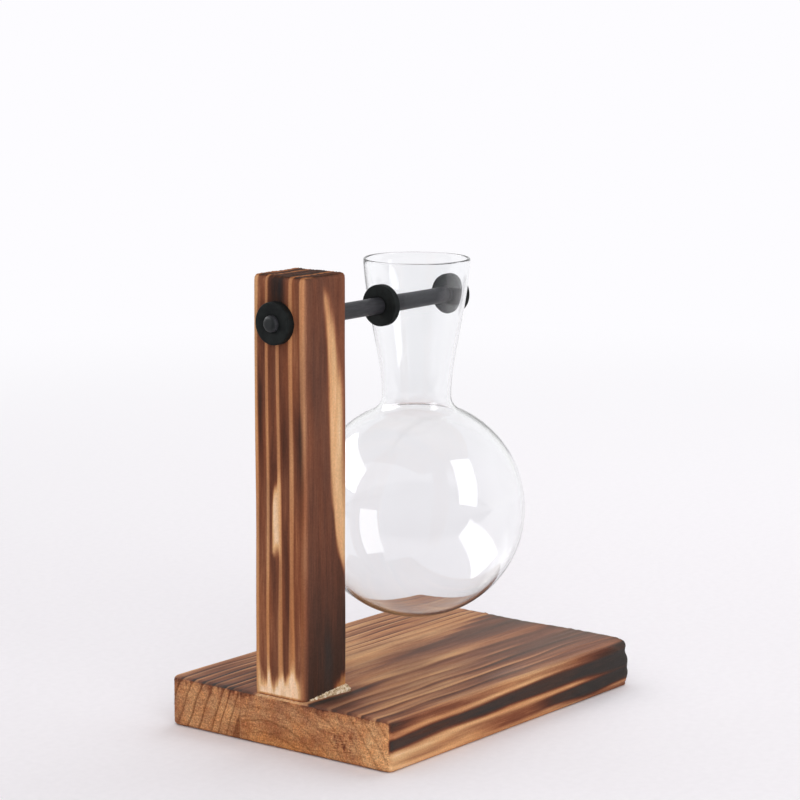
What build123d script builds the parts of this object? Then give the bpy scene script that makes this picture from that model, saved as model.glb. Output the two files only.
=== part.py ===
from build123d import *
from math import sqrt
import os

# Propagation vase: a blown glass bulb that swings on a rod at the head of a torched wooden stand.
# All lengths are in millimetres and Z is up. X runs along the board, from the post towards the bulb,
# and Y runs across it. The origin is the centre of the board's underside.

# Clearances shared by the pieces that fit each other
fit_gap = 0.05
turning_gap = 0.1
side_play = 0.4
cut_overrun = 2.0

# Board: two staves glued edge to edge
board_length = 148.0
board_width = 100.0
board_thickness = 18.0
narrow_stave_width = 33.0
board_edge_radius = 1.5
board_corner_radius = 3.0

# Post
post_depth = 23.6
post_width = 22.9
post_setback = 1.5
post_head = 16.1
post_edge_radius = 1.8

# Rod, and the rubber rings that are pushed on to it
rod_diameter = 6.0
rod_stub = 1.8
rod_end_radius = 1.5
ring_diameter = 15.0
ring_thickness = 3.2
ring_edge_radius = 0.8

# Glass bulb with its neck
bulb_diameter = 80.0
bulb_post_gap = 14.4
bulb_board_gap = 15.0
glass_wall = 1.5
waist_diameter = 25.2
shoulder_radius = 6.0
neck_length = 48.5
rim_diameter = 38.8
hole_below_rim = 13.3
lip_height = 1.9
waist_pull_share = 0.28
rim_pull_share = 0.42
rim_flare_share = 0.08

# Wood screws that hold the post from below
screw_count = 2
screw_spacing = 11.0
screw_length = 42.0
screw_diameter = 4.0
screw_head_diameter = 8.0
screw_head_land = 0.5
screw_tip_length = 6.0
screw_recess = 0.7
drive_span = 4.6
drive_slot = 1.0
drive_depth = 1.7

# Places that follow from the sizes above
rod_radius = rod_diameter / 2
ring_radius = ring_diameter / 2
bulb_radius = bulb_diameter / 2
waist_radius = waist_diameter / 2
rim_radius = rim_diameter / 2
post_outer_x = post_setback - board_length / 2
post_inner_x = post_outer_x + post_depth
post_x = post_outer_x + post_depth / 2
glue_line_y = board_width / 2 - narrow_stave_width
vase_x = post_inner_x + bulb_post_gap + bulb_radius
bulb_z = board_thickness + bulb_board_gap + bulb_radius
shoulder_reach = bulb_radius + shoulder_radius
waist_z = bulb_z + sqrt(shoulder_reach ** 2 - (waist_radius + shoulder_radius) ** 2)
rim_z = waist_z + neck_length
rod_z = rim_z - hole_below_rim
post_top = rod_z + post_head


def neck_line(inset):
    """The neck's side, from waist to rim, moved inwards by inset."""
    waist_pull = neck_length * waist_pull_share
    rim_pull = neck_length * rim_pull_share
    return Bezier(
        (waist_radius - inset, waist_z),
        (waist_radius - inset, waist_z + waist_pull),
        (rim_radius - inset - rim_pull * rim_flare_share, rim_z - rim_pull),
        (rim_radius - inset, rim_z),
    )


def neck_radius_at(height):
    """The neck's outer radius at a height between the waist and the rim, found by halving."""
    side = neck_line(0)
    low, high = 0.0, 1.0
    halvings = 40
    for _ in range(halvings):
        middle = (low + high) / 2
        if (side @ middle).Y < height:
            low = middle
        else:
            high = middle
    return (side @ low).X


# The rings beside the vase stand just clear of the widest glass that they face
ring_clear_x = neck_radius_at(rod_z + ring_radius) + side_play
ring_start_x = {
    "post_stop_ring": post_outer_x - ring_thickness,
    "inner_stop_ring": vase_x - ring_clear_x - ring_thickness,
    "end_stop_ring": vase_x + ring_clear_x,
}
rod_start_x = ring_start_x["post_stop_ring"] - rod_stub
rod_end_x = ring_start_x["end_stop_ring"] + ring_thickness + rod_stub


def along_rod(x):
    """A place on the rod's axis whose own Z axis points along +X."""
    return Pos(x, 0, rod_z) * Rot(0, 90, 0)


def rod_hole(start_x, end_x, gap):
    """A cutter on the rod's axis, wider than the rod by gap on every side."""
    length = end_x - start_x + 2 * cut_overrun
    return along_rod((start_x + end_x) / 2) * Cylinder(rod_radius + gap, length)


def screw_places():
    """Where the screws enter the board's underside, in a row across the grain."""
    first_y = -screw_spacing * (screw_count - 1) / 2
    return [Pos(post_x, first_y + index * screw_spacing, 0) for index in range(screw_count)]


def screw_blank(grow):
    """A turned countersunk screw standing on its head, grown on every side by grow."""
    head_radius = screw_head_diameter / 2 + grow
    shank_radius = screw_diameter / 2 + grow
    cone_base_z = screw_recess + screw_head_land
    tip_z = screw_recess + screw_length + grow
    half_outline = make_face(
        Polyline(
            (0, screw_recess),
            (head_radius, screw_recess),
            (head_radius, cone_base_z),
            (shank_radius, cone_base_z + head_radius - shank_radius),
            (shank_radius, tip_z - screw_tip_length),
            (0, tip_z),
            close=True,
        )
    )
    return revolve(Plane.XZ * half_outline, Axis.Z)


def screw_cutter():
    """The countersunk hole and pilot hole for one screw, open at the underside."""
    mouth_height = screw_recess + cut_overrun
    mouth = Cylinder(screw_head_diameter / 2 + fit_gap, mouth_height)
    return screw_blank(fit_gap) + Pos(0, 0, screw_recess - mouth_height / 2) * mouth


def board():
    """The whole board, with its corners and edges eased."""
    block = Pos(0, 0, board_thickness / 2) * Box(board_length, board_width, board_thickness)
    block = fillet(block.edges().filter_by(Axis.Z), board_corner_radius)
    faces = block.faces().sort_by(Axis.Z)
    block = fillet(faces[0].edges() + faces[-1].edges(), board_edge_radius)
    for place in screw_places():
        block -= place * screw_cutter()
    return block


def stave(low_y, high_y):
    """The strip of the board between two places across its width."""
    slab = Box(board_length + cut_overrun, high_y - low_y, board_thickness + cut_overrun)
    return board() & Pos(0, (low_y + high_y) / 2, board_thickness / 2) * slab


def upright_post():
    """The post, bored for the rod and drilled from below for the screws."""
    height = post_top - board_thickness
    bar = Pos(post_x, 0, board_thickness + height / 2) * Box(post_depth, post_width, height)
    bar = fillet(bar.edges().filter_by(Axis.Z), post_edge_radius)
    bar = fillet(bar.faces().sort_by(Axis.Z)[-1].edges(), post_edge_radius)
    for place in screw_places():
        bar -= place * screw_cutter()
    return bar - rod_hole(post_outer_x, post_inner_x, fit_gap)


def post_screws():
    """The wood screws, each with a cross recess in its head."""
    recess_height = drive_depth + cut_overrun
    slot = Box(drive_span, drive_slot, recess_height)
    cross = slot + Rot(0, 0, 90) * slot
    cross = Pos(0, 0, screw_recess + drive_depth - recess_height / 2) * cross
    screw = screw_blank(0) - cross
    return Compound([place * screw for place in screw_places()])


def support_rod():
    """The straight rod, with rounded ends."""
    rod = Cylinder(rod_radius, rod_end_x - rod_start_x)
    rod = fillet(rod.edges().filter_by(GeomType.CIRCLE), rod_end_radius)
    return along_rod((rod_start_x + rod_end_x) / 2) * rod


def stop_ring(start_x):
    """A rubber ring on the rod, with rounded edges, that reaches in +X from start_x."""
    ring = Cylinder(ring_radius, ring_thickness)
    ring = fillet(ring.edges().filter_by(GeomType.CIRCLE), ring_edge_radius)
    ring = along_rod(start_x + ring_thickness / 2) * ring
    return ring - rod_hole(start_x, start_x + ring_thickness, fit_gap)


def glass_side(inset):
    """The vase's side, from the foot of the bulb to the rim, moved inwards by inset."""
    radius = bulb_radius - inset
    foot = (0, bulb_z - radius)
    belly = (radius, bulb_z)
    touch_share = radius / shoulder_reach
    touch = ((waist_radius + shoulder_radius) * touch_share, bulb_z + (waist_z - bulb_z) * touch_share)
    return [
        ThreePointArc(foot, (radius / sqrt(2), bulb_z - radius / sqrt(2)), belly),
        RadiusArc(belly, touch, -radius),
        RadiusArc(touch, (waist_radius - inset, waist_z), shoulder_radius + inset),
        neck_line(inset),
    ]


def glass_vase():
    """The bulb and its neck, blown in one piece, with a rounded lip and two holes for the rod."""
    outside = glass_side(0)
    inside = glass_side(glass_wall)
    lip_crown = (rim_radius - glass_wall / 2, rim_z + lip_height)
    lip = ThreePointArc(outside[-1] @ 1, lip_crown, inside[-1] @ 1)
    foot = Line(outside[0] @ 0, inside[0] @ 0)
    outline = make_face(outside + [lip] + inside + [foot])
    glass = Pos(vase_x, 0, 0) * revolve(Plane.XZ * outline, Axis.Z)
    return glass - rod_hole(vase_x - rim_radius, vase_x + rim_radius, turning_gap)


sub_parts = {
    "base_stave_wide": stave(-board_width / 2, glue_line_y),
    "base_stave_narrow": stave(glue_line_y, board_width / 2),
    "upright_post": upright_post(),
    "post_screws": post_screws(),
    "support_rod": support_rod(),
    "glass_vase": glass_vase(),
}
for ring_name, start_x in ring_start_x.items():
    sub_parts[ring_name] = stop_ring(start_x)

os.makedirs("parts", exist_ok=True)
for name, shape in sub_parts.items():
    export_step(shape, f"parts/{name}.step")

print(f"rod axis z {rod_z:.3f}, rod x {rod_start_x:.3f} to {rod_end_x:.3f}, post top z {post_top:.3f}")
print(f"vase axis x {vase_x:.3f}, bulb centre z {bulb_z:.3f}, waist z {waist_z:.3f}, rim z {rim_z:.3f}")
print("rings start at x", {ring_name: round(x, 3) for ring_name, x in ring_start_x.items()})
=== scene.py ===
from math import asin, atan2, cos, pi, radians, sin, sqrt

import bmesh
import bpy
import numpy as np
from mathutils import Matrix, Quaternion, Vector


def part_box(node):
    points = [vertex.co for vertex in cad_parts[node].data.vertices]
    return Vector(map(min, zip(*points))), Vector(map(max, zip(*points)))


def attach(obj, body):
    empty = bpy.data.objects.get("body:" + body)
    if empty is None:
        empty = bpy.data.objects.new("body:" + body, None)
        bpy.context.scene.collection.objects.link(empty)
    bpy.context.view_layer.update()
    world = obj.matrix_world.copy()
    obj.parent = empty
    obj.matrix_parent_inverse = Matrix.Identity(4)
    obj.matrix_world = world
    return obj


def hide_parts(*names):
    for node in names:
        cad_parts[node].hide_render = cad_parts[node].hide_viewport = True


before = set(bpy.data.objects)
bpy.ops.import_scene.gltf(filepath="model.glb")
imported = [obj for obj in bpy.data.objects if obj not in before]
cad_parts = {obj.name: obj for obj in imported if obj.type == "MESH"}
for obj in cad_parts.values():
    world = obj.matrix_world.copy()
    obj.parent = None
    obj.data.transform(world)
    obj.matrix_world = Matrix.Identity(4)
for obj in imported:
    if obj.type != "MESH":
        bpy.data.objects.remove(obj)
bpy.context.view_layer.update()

# Lengths are in millimetres of the shared frame, and become metres when a mesh, lamp or camera is made
metres = 0.001


def node_box(*names):
    """Lowest and highest corner of one or more CAD nodes, in millimetres."""
    lows, highs = zip(*(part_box(name) for name in names))
    return np.min(lows, axis=0) / metres, np.max(highs, axis=0) / metres


board_low, board_high = node_box("base_stave_wide", "base_stave_narrow")
post_low, post_high = node_box("upright_post")
rod_low, rod_high = node_box("support_rod")
vase_low, vase_high = node_box("glass_vase")
rod_radius = (rod_high[2] - rod_low[2]) / 2
rod_z = (rod_low[2] + rod_high[2]) / 2
vase_x = (vase_low[0] + vase_high[0]) / 2


# Fields over a piece's points

# Waves that make surfaces uneven: lengths along X, Y and Z, seed, strength, and their count if not usual
usual_count = 9
waves = {
    "board_cloud": ((80, 10, 30), 11, 1.0),
    "board_wisps": ((40, 3.4, 6), 12, 1.0),
    "board_streaks": ((60, 1.5, 8), 18, 0.015),
    "near_streaks": ((50, 2, 1.3), 20, 0.04),
    "wide_ring_bends": ((54, 60, 200), 21, 0.75, 5),
    "wide_ring_wiggles": ((26, 16, 60), 22, 0.50, 5),
    "narrow_ring_bends": ((70, 40, 200), 23, 0.35, 5),
    "narrow_ring_wiggles": ((30, 9, 9), 24, 0.15, 5),
    "ring_fading": ((38, 7, 60), 25, 0.35, 6),
    "end_patches": ((40, 16, 9), 14, 0.035),
    "long_scorch": ((40, 17, 40), 71, 0.03),
    "short_scorch": ((9, 4.3, 9), 72, 0.03),
    "fine_scorch": ((4, 1.4, 4), 73, 0.02),
    "end_specks": ((3, 1.3, 0.9), 74, 1.0),
    "bare_dust": ((1.6, 1.3, 3), 75, 0.10),
    "sawn_end": ((3, 1.5, 1.1), 15, 0.08),
    "board_cracks": ((12, 2.6, 2.6), 16, 0.08),
    "worn_end": ((40, 26, 6.5), 17, 0.40),
    "post_cloud": ((12, 7, 60), 41, 1.0),
    "post_wisps": ((3, 2.4, 36), 42, 1.0),
    "line_bends": ((60, 30, 70), 31, 0.20, 5),
    "line_sway": ((60, 60, 34), 32, 0.12, 4),
    "foot_fingers": ((4, 2.6, 18), 43, 0.6),
    "foot_fibres": ((2, 1.1, 6), 44, 0.5),
    "top_stripes": ((40, 2.2, 40), 45, 0.07),
    "top_grain": ((1.3, 1.3, 3), 46, 0.08),
    "post_cracks": ((2, 2, 9), 47, 0.05),
    "glass_waves": ((60, 60, 45), 51, 0.05),
    "bead_lumps": ((3.2, 2.2, 2.2), 61, 0.32),
    "bead_crumbs": ((1.2, 1.0, 1.0), 62, 0.26, 12),
}


def ripple(points, *names, turn=0):
    """The sum of named waves, a smooth seeded field. Each turn gives other waves of the same kind."""
    total = np.zeros(len(points))
    for name in names:
        lengths, seed, strength, count = (*waves[name], usual_count)[:4]
        draw = np.random.default_rng(seed + turn)
        for _ in range(count):
            way = draw.normal(size=3)
            way /= np.linalg.norm(way)
            phase = points @ (2 * pi * way / np.array(lengths, float))
            total += strength / sqrt(count) * np.sin(phase + draw.uniform(0, 2 * pi))
    return total


def ease(start, end, value):
    """A smooth rise from 0 at start to 1 at end. With end below start it is a smooth fall."""
    share = np.clip((value - start) / (end - start), 0, 1)
    return share * share * (3 - 2 * share)


def bell(value, centre, reach):
    """1 at the centre, with a smooth fall on both sides."""
    return np.exp(-((value - centre) / reach) ** 2)


def spots(first, second, places):
    """Soft round marks. Each has a centre and a reach along both directions, and a strength."""
    total = np.zeros(len(first))
    for centre, second_centre, reach, second_reach, strength in places:
        total += strength * bell(first, centre, reach) * bell(second, second_centre, second_reach)
    return total


def marks(places, **shares):
    """Marks with soft edges. Each has a strength, and edges by a share's name, start and end."""
    total = 0.0
    for mark, *edges in places:
        for name, start, end in edges:
            mark = mark * ease(start, end, shares[name])
        total = total + mark
    return total


def box_shares(points, low, high):
    """Shares of a box's length along X, of its width from the far side, and of its height."""
    x, y, z = ((points - low) / (high - low)).T
    return x, 1 - y, z


def facing(normals, sides):
    """How far points face each side, which has an axis, a way along it or 0 for both, and two limits."""
    return {name: ease(start, end, normals[:, axis] * way if way else np.abs(normals[:, axis]))
            for name, (axis, way, start, end) in sides.items()}


# Meshes

merge_distance = 0.002
arc_steps, bore_segments = 9, 48


def new_mesh(name, points, faces):
    """A mesh object from points in millimetres."""
    mesh = bpy.data.meshes.new(name)
    mesh.from_pydata((np.asarray(points) * metres).tolist(), [], faces)
    mesh.update()
    piece = bpy.data.objects.new(name, mesh)
    bpy.context.scene.collection.objects.link(piece)
    return piece


def read_points(piece):
    """A piece's vertices in millimetres, and its vertex normals."""
    vertices = piece.data.vertices
    points, normals = np.zeros((2, len(vertices) * 3))
    vertices.foreach_get("co", points)
    vertices.foreach_get("normal", normals)
    return points.reshape(-1, 3) / metres, normals.reshape(-1, 3)


def write_points(piece, points):
    piece.data.vertices.foreach_set("co", (points * metres).ravel())
    piece.data.update()


def write_field(piece, name, values):
    """Stores one number for each vertex, which the piece's material reads by name."""
    attribute = piece.data.attributes.new(name, "FLOAT", "POINT")
    attribute.data.foreach_set("value", np.asarray(values, np.float32))


def tube_faces(rows, columns, closed=False):
    """Faces between rows of points round a tube. A closed one joins its last row to its first."""
    row, column = np.meshgrid(np.arange(rows if closed else rows - 1), np.arange(columns), indexing="ij")
    below = (row + 1) % rows
    beside = (column + 1) % columns
    faces = np.stack([row * columns + column, row * columns + beside,
                      below * columns + beside, below * columns + column], -1)
    return faces.reshape(-1, 4).tolist()


def tidy_mesh(piece):
    """Merges doubled points, such as those on a lathe's axis, and turns all faces outwards."""
    shape = bmesh.new()
    shape.from_mesh(piece.data)
    bmesh.ops.remove_doubles(shape, verts=shape.verts, dist=merge_distance * metres)
    bmesh.ops.recalc_face_normals(shape, faces=shape.faces)
    shape.to_mesh(piece.data)
    shape.free()


def lathe(name, outline, segments, axis_x=None, closed=False):
    """Turns (radius, height) points about the upright line at axis_x, or else about the rod's axis."""
    radius, height = np.asarray(outline, float).T[:, :, None]
    turn = np.arange(segments) * 2 * pi / segments
    side, front = radius * np.cos(turn), radius * np.sin(turn)
    height = np.repeat(height, segments, axis=1)
    if axis_x is None:
        points = np.stack([height, side, rod_z + front], -1)
    else:
        points = np.stack([axis_x + side, front, height], -1)
    piece = new_mesh(name, points.reshape(-1, 3), tube_faces(len(outline), segments, closed))
    tidy_mesh(piece)
    return piece


def rod_cutter(name, radius, start, end):
    """A round bar about the rod's axis."""
    return lathe(name, [(0, start), (radius, start), (radius, end), (0, end)], bore_segments)


def carve(piece, cutters):
    """Cuts the cutters out of the piece and deletes them."""
    for cutter in cutters:
        cut = piece.modifiers.new(cutter.name, "BOOLEAN")
        cut.operation = "DIFFERENCE"
        cut.solver = "EXACT"
        cut.object = cutter
    bpy.context.view_layer.update()
    settled = piece.evaluated_get(bpy.context.evaluated_depsgraph_get())
    carved = bpy.data.meshes.new_from_object(settled)
    piece.modifiers.clear()
    piece.data = carved
    for cutter in cutters:
        bpy.data.objects.remove(cutter)


def smooth(piece, sharp_angle):
    """Shades a piece smooth, with edges sharper than the angle kept crisp."""
    piece.data.shade_smooth()
    piece.data.set_sharp_from_angle(angle=radians(sharp_angle))


def fillet(corner, before, after, radius):
    """Points of the curve that rounds an outline's corner between the points before and after it."""
    corner, before, after = (np.array(p, float) for p in (corner, before, after))
    start, end = (corner + (p - corner) / np.linalg.norm(p - corner) * radius for p in (before, after))
    on = np.linspace(0, 1, arc_steps)[:, None]
    return ((1 - on) ** 2 * start + 2 * (1 - on) * on * corner + on ** 2 * end).tolist()


def place(piece, material, body, node):
    """The piece rides on a body, stands for a CAD node and takes its finish from a slot."""
    piece.data.materials.append(material)
    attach(piece, body)
    if node:
        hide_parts(node)


# Materials

def shown(red, green, blue):
    """A colour as a screen shows it, 0 to 255, turned into the values that a shader takes."""
    parts = np.array([red, green, blue]) / 255
    linear = np.where(parts <= 0.04045, parts / 12.92, ((parts + 0.055) / 1.055) ** 2.4)
    return (*linear.tolist(), 1.0)


class Nodes:
    """A material's or the world's node tree, filled in by short calls."""

    def __init__(self, tree):
        self.tree = tree
        tree.nodes.clear()

    def add(self, kind, values=None, **settings):
        """A node with its settings and inputs: plain values, outputs, or nodes for their first output."""
        node = self.tree.nodes.new("ShaderNode" + kind)
        for name, value in settings.items():
            setattr(node, name, value)
        for socket, value in (values or {}).items():
            if isinstance(value, bpy.types.Node):
                value = value.outputs[0]
            if isinstance(value, bpy.types.NodeSocket):
                self.tree.links.new(value, node.inputs[socket])
            else:
                node.inputs[socket].default_value = value
        return node

    def field(self, name):
        return self.add("Attribute", attribute_name=name).outputs["Fac"]

    def chain(self, operation, first, *others):
        """Joins numbers one after another."""
        for other in others:
            first = self.add("Math", {0: first, 1: other}, operation=operation)
        return first

    def mix(self, factor, first, second, blend="MIX"):
        """Blends two colours."""
        first_socket, second_socket, colour_output = 6, 7, 2
        node = self.add("Mix", {0: factor, first_socket: first, second_socket: second},
                        data_type="RGBA", blend_type=blend)
        return node.outputs[colour_output]

    def ramp(self, factor, *stops):
        """A colour ramp from (place, colour) stops."""
        node = self.add("ValToRGB", {"Fac": factor})
        points = node.color_ramp.elements
        while len(points) < len(stops):
            points.new(1)
        for point, (where, colour) in zip(points, stops):
            point.position = where
            point.color = colour
        return node

    def spread(self, value, low, high, start=0.0, end=1.0, manner="LINEAR"):
        """A number mapped from start to end on to low to high."""
        values = {"Value": value, "From Min": start, "From Max": end, "To Min": low, "To Max": high}
        return self.add("MapRange", values, interpolation_type=manner)

    def noise(self, *lengths, detail=2.0, roughness=0.5):
        """Noise whose grains are about these many millimetres long along X, Y and Z, or along all three."""
        where = self.add("TexCoord").outputs["Object"]
        scale = [1 / (length * metres) for length in (lengths * 3)[:3]]
        scaled = self.add("Mapping", {"Vector": where, "Scale": scale})
        values = {"Vector": scaled, "Scale": 1.0, "Detail": detail, "Roughness": roughness}
        return self.add("TexNoise", values)

    def toward(self, where, way):
        """How far a point or direction lies along a way."""
        return self.add("VectorMath", {0: where, 1: way}, operation="DOT_PRODUCT").outputs["Value"]

    def coat(self, tone, rough, height, gloss, strength, depth):
        """An opaque surface with a bump of this depth in millimetres."""
        bump = self.add("Bump", {"Height": height, "Strength": strength, "Distance": depth * metres})
        shader = self.add("BsdfPrincipled", {"Base Color": tone, "Roughness": rough, "Normal": bump,
                                             "Specular IOR Level": gloss})
        self.add("OutputMaterial", {"Surface": shader})


def new_material(name, fill, *values):
    """A material whose nodes a function fills in."""
    material = bpy.data.materials.new(name)
    material.use_nodes = True
    fill(Nodes(material.node_tree), *values)
    return material


# Burn runs from 0, bare wood, to 1, char. Early wood darkens first, late wood stays light for longer.
early_wood_stops = [
    (0.0, shown(246, 215, 186)),
    (0.14, shown(226, 180, 134)),
    (0.28, shown(200, 149, 106)),
    (0.42, shown(164, 112, 81)),
    (0.56, shown(128, 78, 56)),
    (0.70, shown(96, 57, 43)),
    (0.84, shown(62, 41, 34)),
    (1.0, shown(33, 34, 36)),
]
late_wood_stops = [
    (0.0, shown(232, 192, 150)),
    (0.3, shown(216, 166, 120)),
    (0.55, shown(196, 142, 102)),
    (0.75, shown(164, 112, 80)),
    (0.9, shown(86, 60, 49)),
    (1.0, shown(40, 39, 39)),
]
hue_stops = [(0.36, (1.0, 0.92, 0.83, 1.0)), (0.64, (0.96, 1.0, 1.0, 1.0))]
amber_tint = (1.0, 0.86, 0.62, 1.0)
# Grey for ashes and for a painted sheen on the wood
ash_and_sheen_grey = shown(150, 129, 117)
cross_cut_brown, cross_cut_share = shown(104, 58, 36), 0.72

# How far fibres, stains and saw marks change the burn, fibres fray lines, and specks shade the wood
fibre_burn, stain_burn, sawn_burn = 0.11, 0.09, 0.17
line_fray = 1.2
speck_reach, side_speck_share = 1.25, 0.27
end_roughness, grit_height = 0.15, 0.9


def fill_wood(nodes, grain, gloss):
    """Torched softwood whose fibres run along the axis numbered grain."""
    def grained(along, across, **settings):
        return nodes.noise(*(along if axis == grain else across for axis in range(3)), **settings)

    fibre = grained(along=8.0, across=0.32, detail=3.0, roughness=0.62)
    stain = grained(along=24.0, across=2.2, detail=3.0)
    hue = grained(along=40.0, across=4.0)
    speck = nodes.noise(0.65, detail=2.5, roughness=0.7)
    sawn = nodes.noise(30.0, 3.6, 0.55, detail=2.5, roughness=0.6)
    end = nodes.field("end")
    fibre_push = nodes.spread(fibre, -fibre_burn, fibre_burn)
    stain_push = nodes.spread(stain, -stain_burn, stain_burn)
    sawn_push = nodes.chain("MULTIPLY", end, nodes.spread(sawn, -sawn_burn, sawn_burn))
    singed = nodes.chain("ADD", nodes.field("burn"), fibre_push, stain_push, sawn_push)
    frayed = nodes.chain("ADD", nodes.field("line"), nodes.chain("MULTIPLY", fibre_push, line_fray))
    frayed = nodes.spread(frayed, 0.0, 1.0, start=0.1, end=0.9, manner="SMOOTHSTEP")
    early = nodes.ramp(singed, *early_wood_stops)
    late = nodes.ramp(singed, *late_wood_stops)
    cross_cut = nodes.mix(cross_cut_share, early, cross_cut_brown)
    lines = nodes.mix(nodes.chain("MULTIPLY", end, end), late, cross_cut)
    tone = nodes.mix(frayed, early, lines)
    tone = nodes.mix(1.0, tone, nodes.ramp(hue, *hue_stops), "MULTIPLY")
    tone = nodes.mix(nodes.field("amber"), tone, amber_tint, "MULTIPLY")
    # Greys the wood for ashes and a painted sheen
    tone = nodes.mix(nodes.field("ash_and_sheen"), tone, ash_and_sheen_grey)
    speck_share = nodes.spread(end, side_speck_share, 1.0)
    grit = nodes.chain("MULTIPLY", nodes.spread(speck, -speck_reach, speck_reach), speck_share)
    shade = nodes.spread(grit, 0.55, 1.45, start=-0.5, end=0.5)
    tone = nodes.mix(1.0, tone, shade, "MULTIPLY")
    end_rough = nodes.chain("MULTIPLY", end, end_roughness)
    rough = nodes.chain("ADD", nodes.spread(fibre, 0.55, 0.75), end_rough)
    height = nodes.chain("ADD", fibre, nodes.chain("MULTIPLY", grit, grit_height))
    nodes.coat(tone, rough, height, gloss, strength=0.4, depth=0.14)


# Wooden pieces

wood_sharp_angle = 50
least_weight, edge_burn = 0.05, 0.6


def grid_box(low, high, step):
    """Points and faces of a closed box whose six sides are grids of about this step along each axis."""
    counts = np.maximum(np.round((high - low) / np.array(step)), 1).astype(int)
    strides = np.array([(counts[1] + 1) * (counts[2] + 1), counts[2] + 1, 1])
    quads = []
    for axis in range(3):
        second, third = (axis + 1) % 3, (axis + 2) % 3
        a, b = np.meshgrid(np.arange(counts[second]), np.arange(counts[third]), indexing="ij")
        for side in (0, counts[axis]):
            first = side * strides[axis] + a * strides[second] + b * strides[third]
            loop = [first, first + strides[second], first + strides[second] + strides[third],
                    first + strides[third]]
            if side == 0:
                loop.reverse()
            quads.append(np.stack([corner.ravel() for corner in loop], 1))
    used, quads = np.unique(np.concatenate(quads), return_inverse=True)
    index = np.stack(np.unravel_index(used, counts + 1), 1)
    return low + (high - low) * index / counts, quads.reshape(-1, 4).tolist()


def side_gaps(points, low, high, square_sides=()):
    """Each point's distance to the nearer side along X, Y and Z, and which way that side lies."""
    far = 10 * np.max(high - low)
    low_gap = points - low
    high_gap = high - points
    for axis, is_high in square_sides:
        (high_gap if is_high else low_gap)[:, axis] = far
    return np.minimum(low_gap, high_gap), np.where(low_gap < high_gap, -1.0, 1.0)


def round_box(points, low, high, edge_radius, corner_radius, square_sides):
    """Rounds a box's upright corners, then its top and bottom edges. Square sides keep theirs."""
    gap, way = side_gaps(points, low, high, square_sides)
    tiny = 1e-9
    reach = np.clip(corner_radius - gap[:, :2], 0, None)
    turned = reach * (reach.max(1) / np.maximum(np.hypot(*reach.T), tiny))[:, None]
    points[:, :2] += way[:, :2] * (turned - reach)
    depth = np.hypot(*turned.T)
    outward = way[:, :2] * turned / np.maximum(depth, tiny)[:, None]
    flat = np.clip(edge_radius - (corner_radius - depth), 0, None)
    tall = np.clip(edge_radius - gap[:, 2], 0, None)
    share = np.maximum(flat, tall) / np.maximum(np.hypot(flat, tall), tiny)
    points[:, :2] += outward * (flat * (share - 1))[:, None]
    points[:, 2] += way[:, 2] * tall * (share - 1)
    return points


def wood_block(name, low, high, step, edge_radius, corner_radius, square_sides, cutters):
    """A rounded block of wood with a fine even mesh, and its holes."""
    points, faces = grid_box(low, high, step)
    points = round_box(points, low, high, edge_radius, corner_radius, square_sides)
    piece = new_mesh(name, points, faces)
    carve(piece, cutters)
    return piece


def dress(piece, fields, relief):
    """Moves a wooden piece's surface along its normals, and stores the fields that its material reads."""
    points, normals = read_points(piece)
    write_points(piece, points + normals * relief[:, None])
    for name, values in fields.items():
        write_field(piece, name, np.clip(values, 0, 1))
    smooth(piece, wood_sharp_angle)


def hold_still(points, relief, axis, level, reach):
    """Fades the relief out towards a face that lies against another piece."""
    return relief * ease(0, reach, np.abs(points[:, axis] - level))


def side_burns(levels, cloud, wisps):
    """Burn of each named side: its level, and how much clouds and wisps change it."""
    return {name: level + cloudy * cloud + wispy * wisps for name, (level, cloudy, wispy) in levels.items()}


def join_sides(side, burns):
    """Burn all round: each side's own where the surface faces its way, and one level on the edges between."""
    names = [name for name in burns if name in side]
    weight = sum(side[name] for name in names)
    burn = sum(side[name] * burns[name] for name in names)
    return np.where(weight > least_weight, burn / np.maximum(weight, least_weight), edge_burn)


# Board

board_edge_radius, board_corner_radius = 1.5, 3.0
board_step = (1.4, 0.28, 0.45)
board_sides = {
    "end": (0, 0, 0.55, 0.85),
    "top": (2, 1, 0.35, 0.75),
    "under": (2, -1, 0.5, 0.9),
    "near": (1, -1, 0.4, 0.8),
    "far": (1, 1, 0.4, 0.8),
}
board_burns = {
    "top": (0.39, 0.05, 0.03),
    "near": (0.56, 0.04, 0.05),
    "far": (0.60, 0.12, 0.0),
    "under": (0.40, 0.08, 0.0),
    "far_end": (0.86, 0.12, 0.0),
}

# The glue line between the staves, as a share of the board's width
glue_share = (board_high[1] - node_box("base_stave_narrow")[0][1]) / (board_high[1] - board_low[1])
glue_soft_share = 0.01
glue_hold = 1.0

# Countersunk holes over the screws' heads
head_radius, hole_start, hole_rim, hole_depth = 4.05, -1.0, 1.2, 4.0
screw_segments = 40


def screw_cutters():
    """Cutters for the screws' holes, placed by the screws' box."""
    low, high = node_box("post_screws")
    radius = (high[0] - low[0]) / 2
    slim = head_radius / 2
    outline = [(0, hole_start), (head_radius, hole_start), (head_radius, hole_rim),
               (slim, hole_rim + slim), (slim, hole_depth), (0, hole_depth)]
    cutters = []
    for index, y in enumerate((low[1] + radius, high[1] - radius)):
        cutter = lathe(f"screw_cutter_{index}", outline, screw_segments, low[0] + radius)
        cutter.location.y = y * metres
        cutters.append(cutter)
    return cutters
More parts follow.
